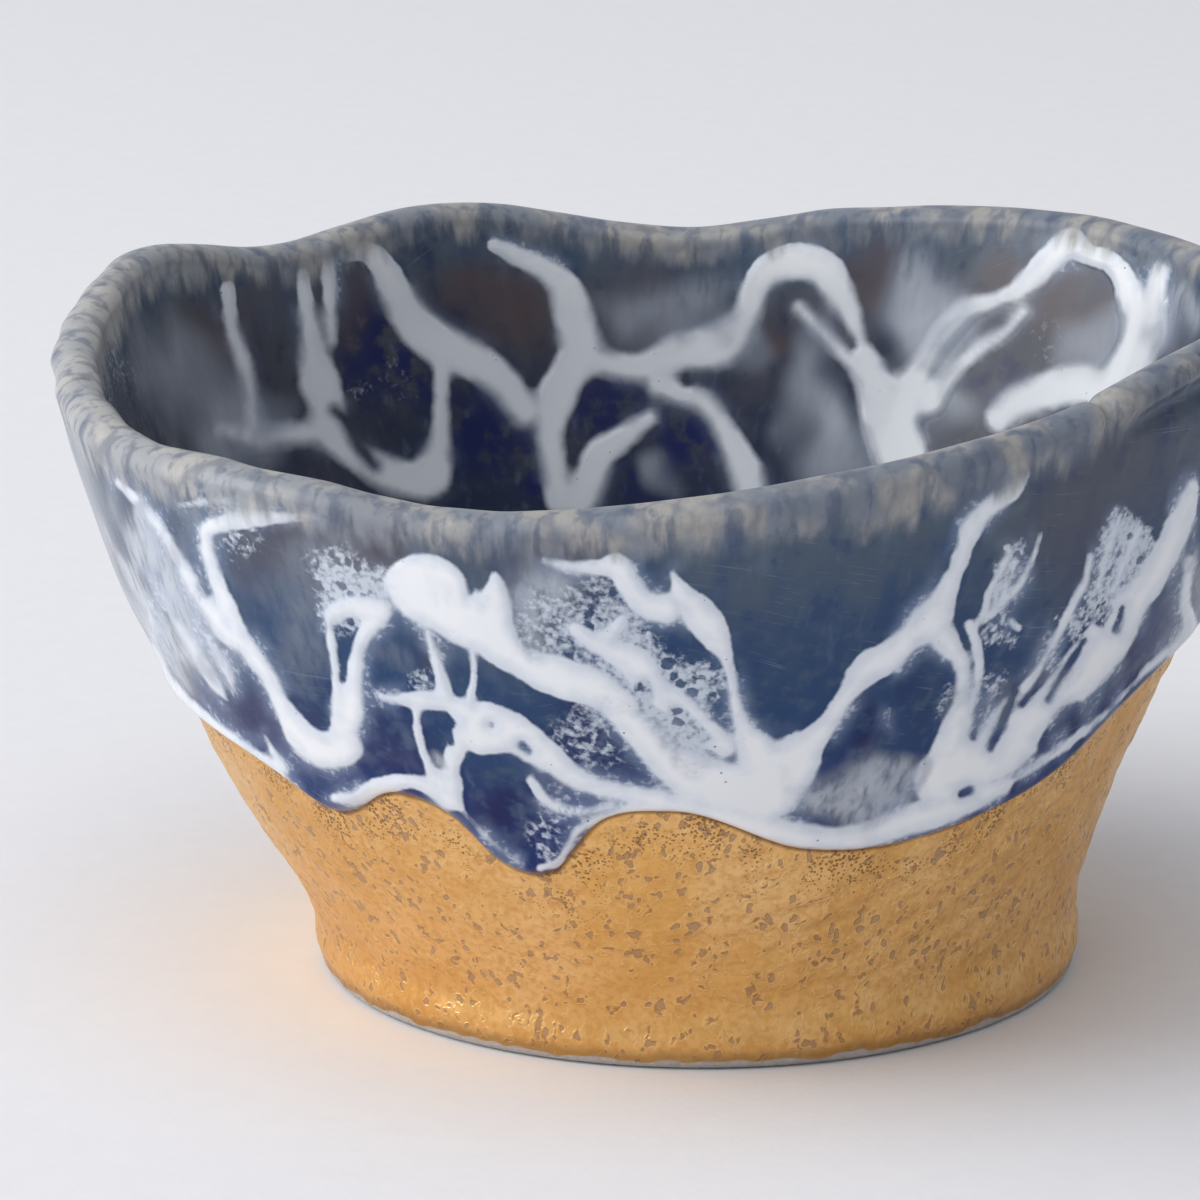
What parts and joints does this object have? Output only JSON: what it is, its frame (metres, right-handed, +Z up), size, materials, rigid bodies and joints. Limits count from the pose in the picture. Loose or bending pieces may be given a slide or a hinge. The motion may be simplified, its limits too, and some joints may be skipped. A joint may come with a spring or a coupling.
{
  "type": "sake cup",
  "caption": "Small open cup of hand-formed stoneware with a wavy lip and a narrower foot, blue and white glaze above a gilded base.",
  "frame": {"origin": "on the surface the cup stands on, in the middle of its outline seen from above", "axes": "+Z up; -Y is the front, the side that the picture shows; +X is the side where the lip is highest"},
  "size_m": [0.078, 0.0792, 0.0451],
  "materials": {
    "blue_glaze": "glossy navy to slate blue glaze with raised white runs",
    "gold_lustre": "satin gold lustre with small open pits",
    "bare_clay": "matt unglazed grey clay"
  },
  "bodies": {
    "root": {"sake_cup": "blue_glaze"}
  },
  "joints": []
}
